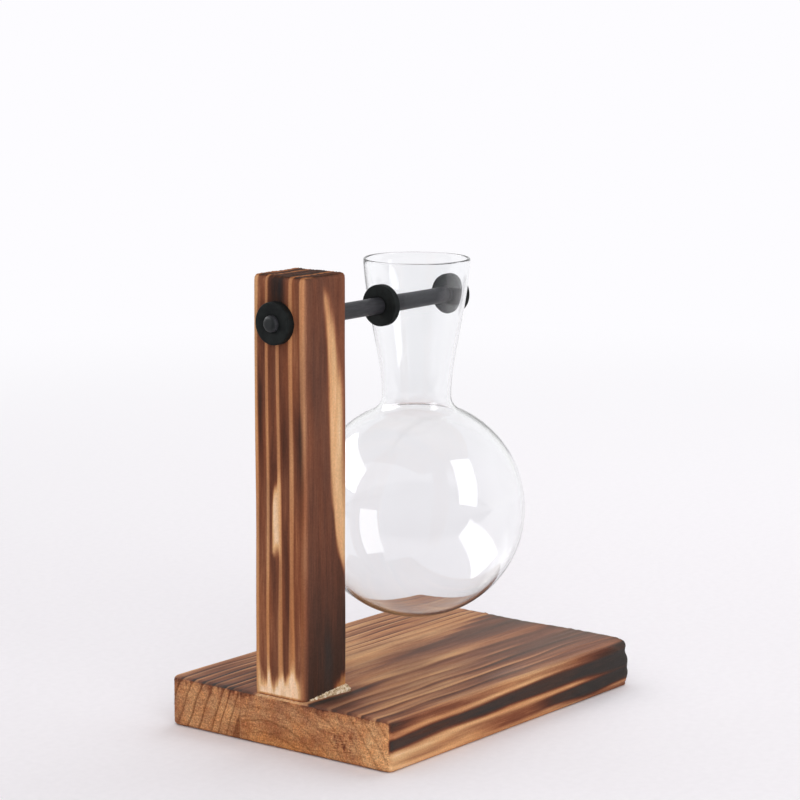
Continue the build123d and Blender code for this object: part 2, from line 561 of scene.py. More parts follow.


# Smoky marks on the board's top, two of them also painted shadow beside the post's near foot: places and
# reaches as shares of its length and width, with a strength
smoke_and_shadow_shares = [
    (0.94, 0.79, 0.36, 0.18, 0.37),
    (1.0, 0.60, 0.04, 0.30, 0.12),
    # These two, beside the post's near foot, are char and painted shadow of the post
    (0.05, 0.655, 0.07, 0.036, 0.36),
    (0.17, 0.645, 0.09, 0.040, 0.26),
    (0.47, 0.91, 0.08, 0.03, 0.16),
    (0.30, 0.94, 0.20, 0.025, 0.16),
    (0.07, 0.965, 0.10, 0.03, 0.20),
    (0.00, 0.27, 0.035, 0.16, 0.26),
    (0.12, 0.25, 0.12, 0.16, 0.15),
    (0.08, 0.10, 0.10, 0.06, 0.14),
    (0.03, 0.77, 0.07, 0.08, 0.16),
    (0.30, 0.58, 0.10, 0.05, -0.08),
    (0.50, 0.375, 0.26, 0.045, -0.17),
    (0.42, 0.435, 0.20, 0.040, -0.20),
    (0.62, 0.275, 0.26, 0.060, -0.15),
    (0.72, 0.615, 0.28, 0.030, -0.11),
]

# Grey ashes and a painted sheen on the top in the same form, all over the top, in the smoky wedge and on char
ash_and_sheen_shares = [(0.54, 0.925, 0.09, 0.03, 0.34), (0.92, 0.79, 0.34, 0.18, 0.26)]
top_ash_and_sheen, wedge_ash_and_sheen, char_ash_and_sheen = 0.10, 0.7, 0.08

# A smoky wedge on the top: its edges as shares of the width, and its burn, over shares of the length
wedge_along_shares = (0.28, 0.50, 0.77, 1.0)
wedge_far_shares = (0.49, 0.47, 0.43, 0.34)
wedge_near_shares = (0.53, 0.55, 0.58, 0.59)
wedge_burns = (0.0, 0.12, 0.20, 0.26)
wedge_soft_share, wedge_waver_share = 0.03, 0.01


def smoky_wedge(along, across):
    """Burn of the wedge of smoke on the board's top."""
    far, near, burn = (np.interp(along, wedge_along_shares, values)
                       for values in (wedge_far_shares, wedge_near_shares, wedge_burns))
    soft = (-wedge_soft_share, wedge_soft_share)
    return ease(*soft, across - far) * ease(*soft, near - across) * burn


# Light strips along the near side: height and half width as shares of its thickness, over shares of its
# length, and the softness of their edges
side_along_shares = (0.0, 0.16, 0.30, 0.47, 0.61, 0.70, 0.82, 1.0)
strips = {
    "upper": ((0.71, 0.75, 0.77, 0.81, 0.82, 0.82, 0.83, 0.84),
              (0.035, 0.045, 0.045, 0.04, 0.02, 0.01, 0.0, 0.0), 0.05),
    "main": ((0.31, 0.35, 0.39, 0.435, 0.41, 0.40, 0.40, 0.42),
             (0.10, 0.09, 0.07, 0.06, 0.042, 0.034, 0.012, 0.0), 0.065),
    "low": ((0.07, 0.08, 0.09, 0.09, 0.085, 0.085, 0.09, 0.10),
            (0.07, 0.07, 0.06, 0.055, 0.045, 0.04, 0.035, 0.035), 0.06),
}
strip_fade_share, strip_waver_share = 0.03, 0.022

# How much lighter the strips and the wood below the main one are, everywhere and more at the start
strip_lights = {"main": (0.35, 0.05), "upper": (0.30, 0.0), "low": (0.18, 0.28), "below": (0.04, 0.20)}

# Char and scorch on the near side, by shares along, up, above the main strip and under the upper one
char_burn = 0.40
band_edges = (("above", 0.02, 0.16), ("under", 0.0, 0.10))
band_char = [(0.80, *band_edges), (0.20, *band_edges, ("along", 0.3, 0.5))]
low_char = [(1.0, ("along", 0.54, 0.68), ("up", 0.10, 0.17), ("above", 0.0, -0.09))]
near_scorch = [(0.22, ("along", 0.13, 0.03), ("up", 0.76, 0.84)),
               (0.36, ("along", 0.72, 0.98), ("up", 0.16, 0.26))]


def near_side_burn(level, along, up):
    """Burn of the board's near side: light strips between charred bands that widen towards the far end."""
    light, middle = {}, {}
    for name, (places, halves, soft) in strips.items():
        middle[name] = np.interp(along, side_along_shares, places)
        half = np.interp(along, side_along_shares, halves)
        inside = ease(half + soft, np.maximum(half - soft, 0), np.abs(up - middle[name]))
        light[name] = inside * ease(0, strip_fade_share, half)
    above = up - middle["main"]
    light["below"] = ease(0.0, -0.12, above) * (1 - light["main"]) * (1 - light["low"])
    shares = {"along": along, "up": up, "above": above, "under": middle["upper"] - up}
    burn = level + char_burn * np.maximum(marks(band_char, **shares), marks(low_char, **shares))
    pale_start = ease(0.45, 0.05, along)
    for name, (always, at_start) in strip_lights.items():
        burn = burn - (always + at_start * pale_start) * light[name]
    return burn + marks(near_scorch, **shares)


# The bare strip before the post's foot
bare_marks = [(1.0, ("along", 0.06, 0.03), ("past_foot", 0.015, -0.025))]
bare_burn, bare_scorch_loss = 0.16, 0.9


def before_post(along, across):
    """1 on the strip between the post's foot and the board's end, which wasn't scorched."""
    first, last = (board_high[1] - np.array([post_high[1], post_low[1]])) / (board_high[1] - board_low[1])
    past_foot = np.abs(across - (first + last) / 2) - (last - first) / 2
    return marks(bare_marks, along=along, past_foot=past_foot)


# The end beside the post: scorch depths as shares of its height, burns, and marks by shares across and up,
# the last a painted shade along its bottom edge
scorch_share, ring_scorch_share, least_scorch_share = 0.05, 0.06, 0.015
singe_depth, singe_strength = 3, 0.40
end_level, scorch_burn, speck_burn = 0.335, 0.38, 0.28
speck_shares = [(0.80, 0.42, 0.06, 0.24, 1.0)]
end_smoke_shares = [(0.48, 0.55, 0.18, 0.5, 0.06)]
# The last mark darkens the end towards its bottom edge as painted shade
end_marks_and_shade = [(-0.10, ("across", 0.72, 1.0), ("up", 0.9, 0.6)), (0.07, ("across", 0.14, 0.0)),
             (0.08, ("up", 0.09, 0.0))]
glue_streak_share, glue_streak_reach, glue_streak_burn = 0.327, 0.004, -0.05


def bare_end_burn(points, across, up, dark, bare):
    """Burn of the end beside the post, which is scorched only along its top edge, deeper on dark rings, with
    painted shade at its bottom edge.
    """
    depth = scorch_share + ripple(points, "long_scorch", "short_scorch", "fine_scorch")
    depth = np.clip(depth + ring_scorch_share * dark * ease(0.4, 0.3, across), least_scorch_share, 1)
    singe = singe_strength * ease(1 - singe_depth * depth, 1, up)
    scorch = (ease(1 - depth, 1.02, up) + singe) * (1 - bare_scorch_loss * bare)
    specks = np.clip(ripple(points, "end_specks") * spots(across, up, speck_shares), 0, 1)
    burn = end_level + ripple(points, "end_patches") + scorch_burn * scorch + speck_burn * specks
    burn = burn + spots(across, up, end_smoke_shares) + marks(end_marks_and_shade, across=across, up=up)
    return burn + glue_streak_burn * bell(across, glue_streak_share, glue_streak_reach)


# Growth rings: strength of late wood, its change from ring to ring, and where late and dark wood lie in one
ring_strength, ring_change, ring_turn, first_turn = 0.76, 0.24, 2.4, 0.7
late_wood = [(1.0, ("phase", 0.50, 0.80), ("phase", 0.98, 0.88))]
dark_wood = [(1.0, ("phase", 0.90, 0.99)), (1.0, ("phase", 0.34, 0.0))]

# How far rings show on the board, and those of the wide stave are lost towards the far end
ring_level, least_ring, most_ring, wide_ring_loss = 0.85, 0.3, 1.2, 0.5
ring_burn, narrow_ring_burn, ring_line = 0.25, 0.10, 0.85

# The wide stave's rings lie about a line below it, the narrow stave's stand on a slant
pith_y, pith_z = 5.0, -25.0
wide_ring_places = (24.4, 28.8, 33.2, 37.7, 42.1, 46.6, 51.3, 55.4, 59.8, 64.4, 69.0)
narrow_ring_places = (19.5, 22.6, 26.4, 29.4, 34.7, 39.1, 43.3, 48.0, 52.4)
narrow_lean = atan2(5.6, 14.4)
wide_ring_start, narrow_ring_start = 0.86, 0.98


def ring_marks(ring):
    """Late wood over growth rings, as a slow rise and a quick fall, and the darker wood that follows it."""
    phase = ring - np.floor(ring)
    strength = ring_strength + ring_change * np.sin(np.floor(ring) * ring_turn + first_turn)
    dark = np.clip(marks(dark_wood, phase=phase), 0, 1) * (1 + strength) / 2
    return strength * marks(late_wood, phase=phase), dark


def wide_ring(points):
    """Rings about the pith, counted by the distances at which each ends."""
    wander = ripple(points, "wide_ring_bends", "wide_ring_wiggles")
    distance = np.hypot(points[:, 1] - pith_y + wander, points[:, 2] - pith_z)
    return np.interp(distance, wide_ring_places, np.arange(len(wide_ring_places))) + wide_ring_start


def narrow_ring(points):
    """Rings so far from their pith that they cross the narrow stave as slanting sheets."""
    wander = ripple(points, "narrow_ring_bends", "narrow_ring_wiggles")
    distance = points[:, 1] * cos(narrow_lean) + points[:, 2] * sin(narrow_lean) + wander
    return np.interp(distance, narrow_ring_places, np.arange(len(narrow_ring_places))) + narrow_ring_start


# Marks along the board's edges, in bands of this reach, a painted highlight along its near side's edges,
# marks on its far side, and amber on its end and near side
edge_band = (2.4, 0.5)
start_edge_marks = [(0.12, ("along", 0.05, 0.0))]
end_edge_marks = [(0.12, ("along", 0.90, 1.0))]
near_edge_highlights = [(-0.13, ("along", 0.15, 0.3), ("along", 0.9, 0.7))]
far_side_marks = [(0.25, ("along", 0.6, 1.0))]
end_amber, near_amber = 0.22, 0.10
end_amber_shares = [(0.52, 0.05, 0.24, 0.36, 0.75)]

# Relief: raised late wood, wisps, and the far end, which is worn down and hollow below its near top edge
line_height, line_base, wisp_height = 0.16, 0.3, 0.05
worn_line_loss, worn_crack_loss, worn_drop = 0.8, 0.7, 0.24
hollow_depth, hollow_up_share, hollow_reach_share = 0.4, 0.70, 0.11
board_relief_low, board_relief_high = -1.2, 0.3


def board_relief(points, side, line, wisps, charred):
    """Relief of a stave, along its normals."""
    along, across, up = box_shares(points, board_low, board_high)
    worn = ease(0.93, 1.0, along)
    hollow = worn * ease(0.84, 1.0, across) * bell(up, hollow_up_share, hollow_reach_share)
    raised = line_height * (line - line_base) * (1 - side["end"])
    relief = raised * (1 - worn_line_loss * worn) + wisp_height * wisps - hollow_depth * hollow
    relief = relief + side["end"] * ripple(points, "sawn_end")
    relief = relief + charred * (1 - worn_crack_loss * worn) * ripple(points, "board_cracks")
    relief = relief + worn * (ripple(points, "worn_end") - worn_drop)
    return np.clip(relief, board_relief_low, board_relief_high) * (1 - side["under"])


def board_fields(points, normals, ring, end_line):
    """The fields and the relief of a stave with this ring count, whose rings mark its end this strongly."""
    along, across, up = box_shares(points, board_low, board_high)
    side = facing(normals, board_sides)
    end, near = side["end"], side["near"]
    narrow = ease(glue_share + glue_soft_share, glue_share - glue_soft_share, across)
    at_start = ease(0.5, 0.4, along)
    bare = before_post(along, across)
    cloud, wisps = ripple(points, "board_cloud"), ripple(points, "board_wisps")
    line, dark = ring_marks(ring)
    kept = 1 - wide_ring_loss * (1 - narrow) * ease(0.55, 0.95, along)
    kept = kept * np.clip(ring_level + ripple(points, "ring_fading"), least_ring, most_ring)
    wedge = smoky_wedge(along + wedge_waver_share * wisps, across + wedge_waver_share * wisps)

    burns = side_burns(board_burns, cloud, wisps)
    ringed = (ring_burn + narrow_ring_burn * narrow) * dark * kept
    top = burns["top"] + ripple(points, "board_streaks") + ringed + spots(along, across, smoke_and_shadow_shares) + wedge
    burns["top"] = top * (1 - bare) + (bare_burn + ripple(points, "bare_dust")) * bare
    burns["near"] = near_side_burn(burns["near"], along, up + strip_waver_share * wisps)
    burns["near"] += ripple(points, "near_streaks")
    burns["far"] += marks(far_side_marks, along=along)
    start_burn = bare_end_burn(points, across, up, dark, bare)
    end_burn = at_start * start_burn + (1 - at_start) * burns["far_end"]
    burn = join_sides(side, burns) * (1 - end) + end_burn * end
    line = ring_line * line * kept * (1 - near)
    line = line * (1 - end) + end_line * dark * at_start * end

    gap, _ = side_gaps(points, board_low, board_high)
    by_edge = ease(*edge_band, np.sort(gap, axis=1)[:, 1]) * (1 - end)
    edge_marks = marks(start_edge_marks, along=along) * (1 - bare) + marks(end_edge_marks, along=along)
    # The near side's edges are lightened as a painted highlight
    burn = burn + by_edge * (edge_marks + near * marks(near_edge_highlights, along=along))
    charred = ease(0.72, 0.95, burn)
    amber = end * at_start * (end_amber + spots(across, up, end_amber_shares)) + near_amber * near
    # The board's top and its charred near side are greyed for ashes and a painted sheen
    ash_and_sheen = side["top"] * (1 - end) * (top_ash_and_sheen + spots(along, across, ash_and_sheen_shares) + wedge_ash_and_sheen * wedge)
    ash_and_sheen = ash_and_sheen + char_ash_and_sheen * near * charred
    fields = {"burn": burn, "line": line, "end": end, "amber": amber, "ash_and_sheen": ash_and_sheen}
    return fields, board_relief(points, side, line, wisps, charred)


# The near top edge is worn away towards the far end: how far across and how far down
worn_across, worn_down = 11.0, 5.0


def wear_corner(points):
    """Rounds the board's near top edge more and more towards the far end."""
    amount = ease(0.84, 1.0, box_shares(points, board_low, board_high)[0])
    wide = np.maximum(worn_across * amount, board_edge_radius / 2)
    tall = np.maximum(worn_down * amount, board_edge_radius / 2)
    outward = (board_low[1] + wide - points[:, 1]) / wide
    upward = (points[:, 2] - board_high[2] + tall) / tall
    share = np.where((outward > 0) & (upward > 0), 1 / np.maximum(np.hypot(outward, upward), 1), 1)
    worn = points.copy()
    worn[:, 1] += wide * outward * (1 - share)
    worn[:, 2] -= tall * upward * (1 - share)
    return worn


def build_stave(name, node, ring_of, end_line, glue_is_high, cutters):
    """One stave of the board, rounded everywhere but along its glued side."""
    low, high = node_box(node)
    piece = wood_block(name, low, high, board_step, board_edge_radius, board_corner_radius,
                       [(1, glue_is_high)], cutters)
    points, normals = read_points(piece)
    fields, relief = board_fields(points, normals, ring_of(points), end_line)
    relief = hold_still(points, relief, 1, high[1] if glue_is_high else low[1], glue_hold)
    write_points(piece, wear_corner(points))
    dress(piece, fields, relief)
    place(piece, board_wood, "stand", node)


# Post

post_edge_radius = 1.8
post_step = (0.45, 0.45, 1.1)
rod_bore_gap, bore_overrun = 0.05, 4.0
post_sides = {
    "end": (2, 0, 0.55, 0.85),
    "outer": (0, -1, 0.5, 0.9),
    "inner": (0, 1, 0.5, 0.9),
    "near": (1, -1, 0.4, 0.85),
    "far": (1, 1, 0.4, 0.85),
}
post_burns = {
    "outer": (0.61, 0.05, 0.035),
    "inner": (0.60, 0.06, 0.05),
    "near": (0.675, 0.0, 0.015),
    "far": (0.62, 0.06, 0.06),
}

# Late wood lines down the post: place as a share of its width from the far side, half width in millimetres,
# strength, how much of it is lost over which shares of the height, and whether it leans and widens downwards
post_line_places = [
    # The first line, along the far edge, is mostly a painted highlight on the rounded edge
    (0.058, 0.95, 1.00, 0.0, (0.0, 1.0), 0, 0),
    (0.282, 0.62, 0.95, 0.0, (0.0, 1.0), 0, 0),
    (0.491, 0.70, 0.95, 0.8, (0.90, 0.96), 1, 1),
    (0.750, 0.85, 1.00, 0.0, (0.0, 1.0), 0, 1),
    (0.958, 0.75, 0.90, 0.65, (0.75, 0.45), 0, 0),
]
lean_height_shares, lean_shares = (0.0, 0.33, 0.53, 1.0), (0.04, 0.04, 0.01, 0.0)
widen_height_shares, widen_shares = (0.0, 0.12, 0.3, 1.0), (0.9, 0.5, 0.05, 0.0)
bow_share, slant_share = 0.05, 0.03
line_level, line_edge = 0.88, (1.6, 0.5)


def post_lines(points):
    """Late wood of the post: sheets through it that show as thin lines and bow a little. The first, along the
    far edge, is mostly a painted highlight.
    """
    inward, across, up = box_shares(points, post_low, post_high)
    width = post_high[1] - post_low[1]
    bow = bow_share * np.sin(pi * np.clip(inward, 0, 1)) + slant_share * inward
    bow = bow + ripple(points, "line_bends") / width
    lean = np.interp(up, lean_height_shares, lean_shares)
    widening = np.interp(up, widen_height_shares, widen_shares)
    lines = np.zeros(len(points))
    for index, (share, half, strength, loss, fade, leans, widens) in enumerate(post_line_places):
        offset = (across - share - bow - leans * lean) * width / (half * (1 + widens * widening))
        sway = line_level + ripple(points, "line_sway", turn=index)
        left = strength * (1 - loss * ease(*fade, up))
        lines = np.maximum(lines, left * sway * ease(*line_edge, np.abs(offset)))
    return lines


# Bare wood at the foot: heights over which it ends, how far it frays and climbs along late wood, and how it
# rises towards the near side's inner corner
outer_foot_heights, outer_foot_fray = (11.5, 3.5), 2.0
foot_climb, foot_climb_base = 5.0, 0.3
outer_foot_marks = [(1.0, ("across", 0.0, 0.14), ("across", 1.0, 0.82))]
near_foot_heights, near_foot_rise, near_foot_share = (2.5, -1.5), 6.5, 0.55
other_foot_heights, other_foot_fray, other_foot_strength = (5.0, 1.0), 1.6, 0.5
foot_hold = 1.5


def foot_shares(points, inward, across, line):
    """How far the post's foot is bare wood: ragged fingers outside, and a low corner on the near side."""
    rise = points[:, 2] - post_low[2]
    ragged = ripple(points, "foot_fingers", "foot_fibres")
    climb = foot_climb * (line - foot_climb_base)
    outer = ease(*outer_foot_heights, rise - outer_foot_fray * ragged - climb)
    slope = near_foot_rise * (inward - near_foot_share) / (1 - near_foot_share)
    near = ease(*near_foot_heights, rise - slope - ragged) * ease(0.60, 0.78, inward)
    other = other_foot_strength * ease(*other_foot_heights, rise - other_foot_fray * ragged)
    return outer * marks(outer_foot_marks, across=across), near, other, ragged


# A wide light streak on the near side: its edges as shares of the post's depth, over shares of its height
streak_height_shares = (0.25, 0.33, 0.40, 0.46, 0.60, 0.73, 0.87, 0.975)
streak_left_shares = (1.02, 0.79, 0.70, 0.645, 0.605, 0.58, 0.487, 0.43)
streak_right_shares = (1.10, 1.10, 1.06, 1.00, 0.92, 0.87, 0.73, 0.58)
streak_edges = (("left", -0.03, 0.06), ("right", -0.10, 0.16), ("up", 0.24, 0.34), ("up", 0.985, 0.94))
streak_marks = [(-0.424, *streak_edges), (-0.106, *streak_edges, ("up", 0.95, 0.8))]

# A light patch beside the outer side's middle line, as shares of its width over shares of its height
patch_height_shares = (0.33, 0.345, 0.40, 0.46, 0.50, 0.545)
patch_left_shares = (0.42, 0.345, 0.35, 0.375, 0.42, 0.48)
patch_right_share = 0.55
patch_edges = (("left", -0.025, 0.035), ("right", -0.02, 0.05), ("foot", 0.325, 0.37), ("up", 0.56, 0.49))
patch_marks = [(-0.54, *patch_edges)]

# How far wisps move the streak's left and right edge, and the patch's left edge and foot
streak_left_waver, streak_right_waver, patch_left_waver, patch_foot_waver = 0.012, 0.03, 0.02, 0.012


def streak_and_patch(inward, across, up, wisps):
    """Burn of the light streak on the post's near side, and of the light patch on its outer side."""
    left = np.interp(up, streak_height_shares, streak_left_shares) + streak_left_waver * wisps
    right = np.interp(up, streak_height_shares, streak_right_shares) + streak_right_waver * wisps
    streak = marks(streak_marks, up=up, left=inward - left, right=right - inward)
    left = np.interp(up, patch_height_shares, patch_left_shares) + patch_left_waver * wisps
    patch = marks(patch_marks, up=up, foot=up + patch_foot_waver * wisps, left=across - left,
                  right=patch_right_share - across)
    return streak, patch


# Marks on the post's outer side: centre and reach as shares of width and height, with a strength
outer_smoke_shares = [
    (0.15, 0.66, 0.07, 0.16, 0.22),
    (0.38, 0.97, 0.08, 0.12, 0.24),
    (0.04, 0.72, 0.05, 0.45, -0.26),
    (0.38, 0.56, 0.06, 0.06, 0.12),
    (0.62, 0.60, 0.08, 0.09, 0.15),
    (0.95, 0.63, 0.10, 0.07, 0.16),
    (0.51, 0.975, 0.10, 0.075, 0.30),
    (0.12, 0.97, 0.09, 0.08, -0.14),
    (0.64, 0.30, 0.07, 0.25, 0.10),
    (0.15, 0.25, 0.10, 0.20, -0.08),
    (0.88, 0.30, 0.08, 0.22, -0.10),
    (0.88, 0.85, 0.06, 0.14, -0.06),
]

# Marks on its near side, as shares of depth and height
near_smoke_shares = [
    (0.55, 0.10, 0.09, 0.08, 0.12),
    (0.90, 0.20, 0.20, 0.14, 0.02),
    (0.45, 0.02, 0.60, 0.10, 0.05),
    (0.10, 0.75, 0.06, 0.40, -0.06),
]
near_post_marks = [(0.12, ("up", 0.42, 0.10)), (-0.07, ("inward", 0.70, 0.9), ("up", 0.5, 0.6)),
                   (-0.20, ("inward", 0.12, 0.03))]

# Late wood lost on the near and far side, then burn, amber, grey ashes with a painted sheen, and the relief
near_line_loss, far_line_loss = 0.9, 0.5
foot_burn, near_foot_burn, top_burn, top_line_burn = 0.07, -0.50, 0.84, -0.22
foot_amber, outer_amber, line_amber, top_amber = 0.9, 0.05, 0.5, 0.9
near_ash_and_sheen, near_ash_and_sheen_shares = 0.05, [(0.55, 0.07, 0.12, 0.08, 0.05)]
top_end_share = 0.45
post_line_height, post_line_base, post_wisp_height, post_cloud_height = 0.18, 0.35, 0.03, -0.06
post_relief_low, post_relief_high = -0.3, 0.2


def post_fields(points, normals):
    """The fields and the relief of the post."""
    inward, across, up = box_shares(points, post_low, post_high)
    side = facing(normals, post_sides)
    end, outer, near = side["end"], side["outer"], side["near"]
    cloud, wisps = ripple(points, "post_cloud"), ripple(points, "post_wisps")
    burns = side_burns(post_burns, cloud, wisps)
    burns["outer"] += spots(across, up, outer_smoke_shares)
    burns["near"] += marks(near_post_marks, inward=inward, up=up) + spots(inward, up, near_smoke_shares)
    streak, patch = streak_and_patch(inward, across, up, wisps)
    burn = join_sides(side, burns) + near * streak + outer * patch
    inside = ease(0.0, 0.10, inward)
    line = post_lines(points) * (1 - near_line_loss * near * inside)
    line = line * (1 - far_line_loss * side["far"] * inside)

    outer_foot, near_foot, other_foot, ragged = foot_shares(points, inward, across, line)
    foot = outer * outer_foot + (side["inner"] + side["far"]) * other_foot
    burn = burn * (1 - foot) + foot * foot_burn * np.clip(ragged, 0, 1) + near_foot_burn * near * near_foot
    line = line * (1 - foot)
    low_lines = line_amber * line * ease(0.35, 0.2, up) * (1 - foot)
    amber = foot_amber * near * near_foot + outer * (outer_amber + low_lines) + top_amber * end
    # The near side is greyed for ashes and a painted sheen
    ash_and_sheen = near * (near_ash_and_sheen + spots(inward, up, near_ash_and_sheen_shares))
    burn = burn * (1 - end) + (top_burn + ripple(points, "top_stripes") + top_line_burn * line) * end

    charred = ease(0.75, 0.95, burn)
    relief = post_line_height * (line - post_line_base) * (1 - end)
    relief = relief + post_wisp_height * wisps + post_cloud_height * cloud
    relief = relief + end * ripple(points, "top_grain") + charred * ripple(points, "post_cracks")
    relief = np.clip(relief, post_relief_low, post_relief_high)
    fields = {"burn": burn, "line": line, "end": top_end_share * end, "amber": amber, "ash_and_sheen": ash_and_sheen}
    return fields, hold_still(points, relief, 2, post_low[2], foot_hold)


def build_post():
    """The post, with its bore for the rod."""
    bore = rod_cutter("bore_cutter", rod_radius + rod_bore_gap, post_low[0] - bore_overrun,
                      post_high[0] + bore_overrun)
    piece = wood_block("post_wood", post_low, post_high, post_step, post_edge_radius, post_edge_radius,
                       [(2, False)], [bore])
    dress(piece, *post_fields(*read_points(piece)))
    place(piece, post_wood, "stand", "upright_post")


# Rod and rings

turned_sharp_angle = 40
ring_segments, ring_rounding = 96, 0.5
chamfer_along, chamfer_out = 0.1, 0.2
rod_segments, rod_steps, rod_end_radius, rod_flat_share = 64, 24, 1.7, 0.3
rod_shaded_ends = {"end": (0, 0, 0.4, 0.9)}


def fill_satin_black(nodes):
    """Satin black coating with fine scuffs along the rod, and painted shade on its ends."""
    scuff = nodes.noise(6.0, 0.5, 0.5, detail=3.0)
    dust = nodes.noise(0.9)
    tone = nodes.ramp(scuff, (0.3, shown(38, 38, 41)), (0.75, shown(56, 56, 60)))
    # Painted shade: the rod's ends are darkened
    tone = nodes.mix(nodes.field("end"), tone, shown(27, 30, 31))
    nodes.coat(tone, nodes.spread(dust, 0.36, 0.56), scuff, gloss=0.3, strength=0.12, depth=0.05)


def fill_rubber(nodes):
    """Matt black rubber with a faint bloom."""
    bloom = nodes.noise(2.4, detail=3.0)
    grain = nodes.noise(0.28)
    tone = nodes.ramp(bloom, (0.35, shown(15, 18, 18)), (0.72, shown(29, 33, 32)))
    nodes.coat(tone, nodes.spread(bloom, 0.55, 0.78), grain, gloss=0.14, strength=0.22, depth=0.04)


def build_ring(name, node, body):
    """A moulded rubber ring: flat, with a small chamfer at its bore and softly rounded outer edges."""
    low, high = node_box(node)
    outer = (high[2] - low[2]) / 2
    bore = rod_radius + rod_bore_gap
    start, end = low[0], high[0]
    outline = [(bore, start + chamfer_along), (bore, end - chamfer_along), (bore + chamfer_out, end)]
    outline += fillet((outer, end), (bore, end), (outer, start), ring_rounding)
    outline += fillet((outer, start), (outer, end), (bore, start), ring_rounding)
    outline += [(bore + chamfer_out, start)]
    piece = lathe(name, outline, ring_segments, closed=True)
    smooth(piece, turned_sharp_angle)
    place(piece, ring_rubber, body, node)


def build_rod():
    """The rod, with softly rounded ends."""
    start, end = rod_low[0], rod_high[0]
    flat = rod_radius * rod_flat_share
    outline = [(0, start), (flat, start)]
    outline += fillet((rod_radius, start), (0, start), (rod_radius, end), rod_end_radius)
    outline += [(rod_radius, start + (end - start) * index / rod_steps) for index in range(1, rod_steps)]
    outline += fillet((rod_radius, end), (rod_radius, start), (0, end), rod_end_radius)
    outline += [(flat, end), (0, end)]
    piece = lathe("rod_turned", outline, rod_segments)
    write_field(piece, "end", facing(read_points(piece)[1], rod_shaded_ends)["end"])
    smooth(piece, turned_sharp_angle)
    place(piece, rod_black, "stand", "support_rod")


# Glass vase

glass_wall = 1.0
waist_radius, shoulder_radius, rim_radius = 12.6, 6.0, 19.4
neck_length = 48.5
waist_pull_share, rim_pull_share, rim_flare_share = 0.28, 0.42, 0.08
rod_hole_gap = 0.1
glass_segments = 192
bulb_steps, shoulder_steps, neck_steps, lip_steps = 90, 16, 60, 16
bulb_radius = (vase_high[0] - vase_low[0]) / 2
bulb_z = vase_low[2] + bulb_radius
shoulder_reach = bulb_radius + shoulder_radius
waist_z = bulb_z + sqrt(shoulder_reach ** 2 - (waist_radius + shoulder_radius) ** 2)
rim_z = waist_z + neck_length

# Out to this many of a hole's radii the glass stays even
calm_radii = 3


def arc(centre, radius, start, end, steps):
    """Points of an arc between two angles, without its last point."""
    turn = np.linspace(start, end, steps, endpoint=False)
    return np.stack([centre[0] + radius * np.cos(turn), centre[1] + radius * np.sin(turn)], 1)


def glass_side(inset):
    """The vase's side from the bulb's foot to the rim, moved inwards by inset."""
    lean = asin((waist_z - bulb_z) / shoulder_reach)
    bulb = arc((0, bulb_z), bulb_radius - inset, -pi / 2, lean, bulb_steps)
    shoulder_centre = (waist_radius + shoulder_radius, waist_z)
    shoulder = arc(shoulder_centre, shoulder_radius + inset, pi + lean, pi, shoulder_steps)
    waist_pull = neck_length * waist_pull_share
    rim_pull = neck_length * rim_pull_share
    waist, rim = waist_radius - inset, rim_radius - inset
    pulls = np.array([(waist, waist_z), (waist, waist_z + waist_pull),
                      (rim - rim_pull * rim_flare_share, rim_z - rim_pull), (rim, rim_z)])
    on = np.linspace(0, 1, neck_steps)
    off = 1 - on
    neck = np.stack([off ** 3, 3 * off ** 2 * on, 3 * off * on ** 2, on ** 3], 1) @ pulls
    return np.concatenate([bulb, shoulder, neck])


def fill_glass(nodes):
    """Clear blown glass with faint ripples and a slight grey-green depth. Lamps shine through it."""
    swirl = nodes.noise(16.0, 16.0, 26.0, detail=1.0)
    smear = nodes.noise(7.0, 7.0, 3.0)
    bump = nodes.add("Bump", {"Height": swirl, "Strength": 0.10, "Distance": 0.35 * metres})
    glass = nodes.add("BsdfPrincipled", {
        "Base Color": (0.985, 0.990, 0.992, 1.0), "Roughness": nodes.spread(smear, 0.0, 0.02),
        "Transmission Weight": 1.0, "IOR": 1.47, "Normal": bump})
    clear = nodes.add("BsdfTransparent", {"Color": (0.93, 0.945, 0.94, 1.0)})
    shadow = nodes.add("LightPath").outputs["Is Shadow Ray"]
    shader = nodes.add("MixShader", {0: shadow, 1: glass, 2: clear})
    depth = nodes.add("VolumeAbsorption", {"Color": (0.80, 0.87, 0.85, 1.0), "Density": 14.0})
    nodes.add("OutputMaterial", {"Surface": shader, "Volume": depth})


def build_vase():
    """The blown bulb and neck in one wall, with a fire-polished lip and two holes for the rod."""
    lip_radius = glass_wall / 2
    lip_z = vase_high[2] - lip_radius
    lip = arc((rim_radius - lip_radius, lip_z), lip_radius, 0, pi, lip_steps)
    lip = np.vstack([lip, [rim_radius - glass_wall, lip_z]])
    outline = np.concatenate([glass_side(0), lip, glass_side(glass_wall)[::-1]])
    piece = lathe("vase_glass", outline, glass_segments, vase_x)
    hole_radius = rod_radius + rod_hole_gap
    reach = rim_radius + glass_wall
    carve(piece, [rod_cutter("hole_cutter", hole_radius, vase_x - reach, vase_x + reach)])
    points, normals = read_points(piece)
    from_hole = np.hypot(points[:, 1], points[:, 2] - rod_z)
    wave = ripple(points, "glass_waves") * ease(hole_radius, calm_radii * hole_radius, from_hole)
    write_points(piece, points + normals * wave[:, None])
    smooth(piece, turned_sharp_angle)
    place(piece, clear_glass, "vase", "glass_vase")


# Glue bead

bead_start, bead_overrun = 1.6, 0.9
bead_start_taper, bead_end_taper = 2.0, 2.2
bead_thin, bead_thick = np.array([0.8, 0.8]), np.array([2.1, 2.3])
bead_sink, bead_hollow = 0.35, 1.5
bead_steps, bead_arms = 150, 12
bead_sharp_angle = 60


